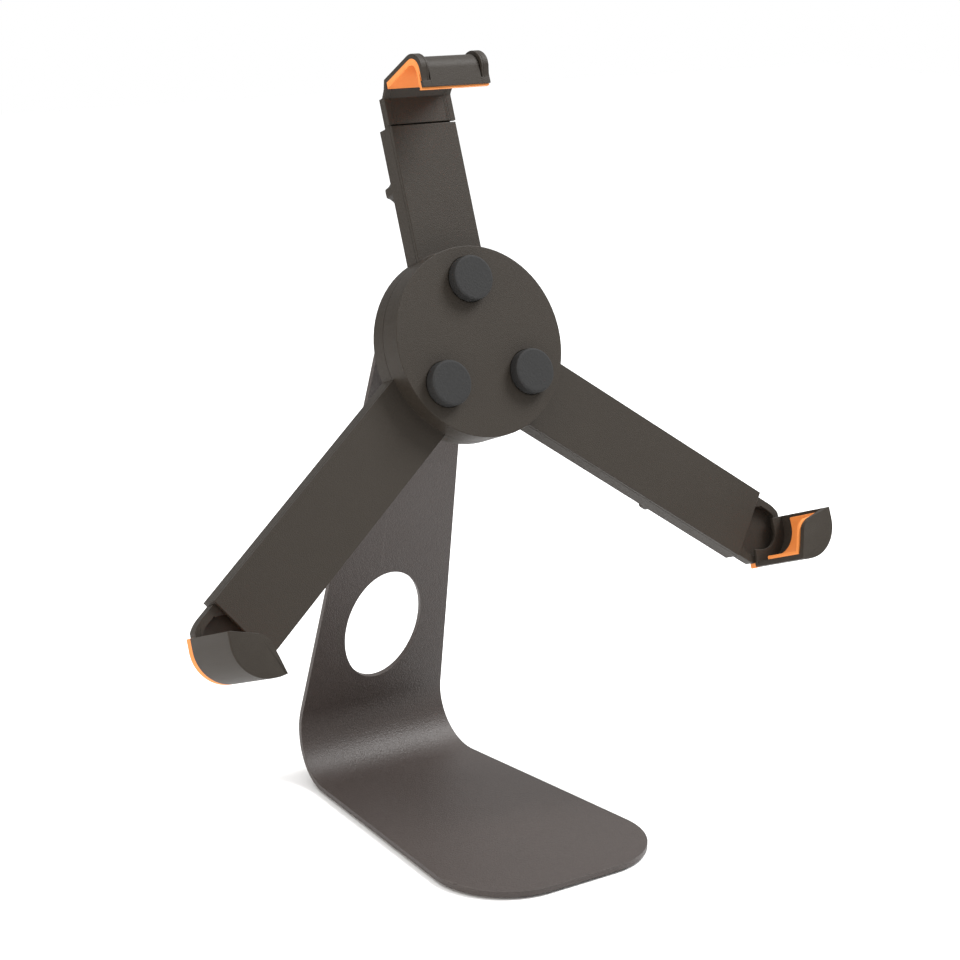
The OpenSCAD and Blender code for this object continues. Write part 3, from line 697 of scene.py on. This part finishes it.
# how far each remaining CAD node has its edges rounded, in millimetres, by finish
softNodes = {
    "mouldedPlastic": {"hub_rear_shell": 0.5, "hub_front_cover": 0.6, "top_arm": 0.4,
                       "left_arm": 0.4, "right_arm": 0.4, "top_knob": 0.7, "left_knob": 0.7,
                       "right_knob": 0.7},
    "orangeGrip": {"left_claw_band": 0.2, "right_claw_band": 0.2},
    "blackRubber": {"foot_mat": 0.2, "hub_rest_pads": 0.8, "tilt_friction_washers": 0.15,
                    "swivel_friction_disc": 0.2, "lock_pads": 0.15},
    "zincSteel": {"bracket_screws": 0.25, "bracket_nuts": 0.3, "tilt_bolt": 0.4,
                  "tilt_disc_springs": 0.1, "tilt_lock_nut": 0.3, "swivel_spindle": 0.3,
                  "swivel_thrust_washer": 0.15,
                  "swivel_wave_washer": 0.15, "swivel_nut": 0.3, "stop_pins": 0.1,
                  "top_knob_stud": 0.2, "left_knob_stud": 0.2, "right_knob_stud": 0.2},
    "blackSteel": {"hinge_bracket": 0.4, "swivel_knuckle": 0.5},
    "brass": {"lock_inserts": 0.2},
    "acetal": {"swivel_bush": 0.2},
}


def camelName(node):
    head, *rest = node.split("_")
    return head + "".join(word.capitalize() for word in rest)


wide = {"area": 15, "hold": 0.15, "sharpOver": 35}  # square millimetres, millimetres, degrees


def soften(node, finish, width):
    # a copy of a CAD node with its sharp edges rounded, as a moulded or machined piece has them;
    # the knobs' lobed faces are left without a hold loop, which would cross itself there
    bm = bmesh.new()
    bm.from_mesh(frame["nodes"][node].data)
    bmesh.ops.remove_doubles(bm, verts=bm.verts, dist=2e-6)
    bmesh.ops.dissolve_limit(bm, angle_limit=radians(1), verts=bm.verts, edges=bm.edges)
    roundEdges(bm, sharpEdges(bm, wide["sharpOver"]), width * mm, 2)
    if not node.endswith("_knob"):
        holdEdges(bm, wideFaces(bm, wide["area"] * mm * mm), wide["hold"] * mm)
    finishPiece(camelName(node), bm, finish, bodies[node], [node])


bodies = {node: body for body, nodes in frame["record"]["behaviour"]["bodies"].items()
          for node in nodes}
for finish, nodes in softNodes.items():
    for node, width in nodes.items():
        soften(node, finish, width)
print("small pieces made")

studio = {"floor": 2.5, "floorColour": (0.93, 0.93, 0.93), "floorRoughness": 0.9,
          "horizon": 0.24, "overhead": 1.55, "backdrop": 1.0}
lamps = {"left": {"place": (-1.5, -0.1, 0.5), "aim": (0, 0, 0.12), "size": (0.8, 0.8),
                  "power": 9, "colour": (1, 0.90, 0.80)},
         "top": {"place": (0.80, -0.32, 1.2), "aim": (0, 0.05, 0.03), "size": (0.55, 0.55),
                 "power": 22, "colour": (1, 1, 1)}}


def areaLight(name, place, aim, size, power, colour):
    data = bpy.data.lights.new(name, "AREA")
    data.shape = "RECTANGLE"
    data.size, data.size_y = size
    data.energy = power
    data.color = colour
    light = bpy.data.objects.new(name, data)
    light.location = place
    light.rotation_euler = (Vector(aim) - Vector(place)).to_track_quat("-Z", "Y").to_euler()
    bpy.context.scene.collection.objects.link(light)


def makeSky():
    # soft tent light, brighter overhead than at the horizon, before a plain white backdrop
    world = bpy.data.worlds.new("studio")
    world.use_nodes = True
    tree = world.node_tree
    coord = tree.nodes.new("ShaderNodeTexCoord")
    split = tree.nodes.new("ShaderNodeSeparateXYZ")
    path = tree.nodes.new("ShaderNodeLightPath")
    tree.links.new(coord.outputs["Generated"], split.inputs["Vector"])
    height = mathNode(tree, "MAXIMUM", split.outputs["Z"], 0)
    lit = mathNode(tree, "MULTIPLY_ADD", height, studio["overhead"] - studio["horizon"],
                   studio["horizon"])
    seen = path.outputs["Is Camera Ray"]
    hidden = mathNode(tree, "SUBTRACT", 1, seen)
    unseen = mathNode(tree, "MULTIPLY", lit, hidden)
    strength = mathNode(tree, "MULTIPLY_ADD", seen, studio["backdrop"], unseen)
    background = tree.nodes["Background"]
    background.inputs["Color"].default_value = (1, 1, 1, 1)
    tree.links.new(strength, background.inputs["Strength"])
    return world


def makeStudio():
    bm = bmesh.new()
    bmesh.ops.create_grid(bm, x_segments=1, y_segments=1, size=studio["floor"])
    mesh = bpy.data.meshes.new("floor")
    bm.to_mesh(mesh)
    bm.free()
    floor = bpy.data.objects.new("floor", mesh)
    bpy.context.scene.collection.objects.link(floor)
    paint = bpy.data.materials.new("floorPaint")
    paint.use_nodes = True
    shader = paint.node_tree.nodes["Principled BSDF"]
    shader.inputs["Base Color"].default_value = (*studio["floorColour"], 1)
    shader.inputs["Roughness"].default_value = studio["floorRoughness"]
    mesh.materials.append(paint)
    bpy.context.scene.world = makeSky()
    for name, lamp in lamps.items():
        areaLight(name, **lamp)
    bpy.context.scene.view_settings.view_transform = "Standard"


makeStudio()
print("studio made")
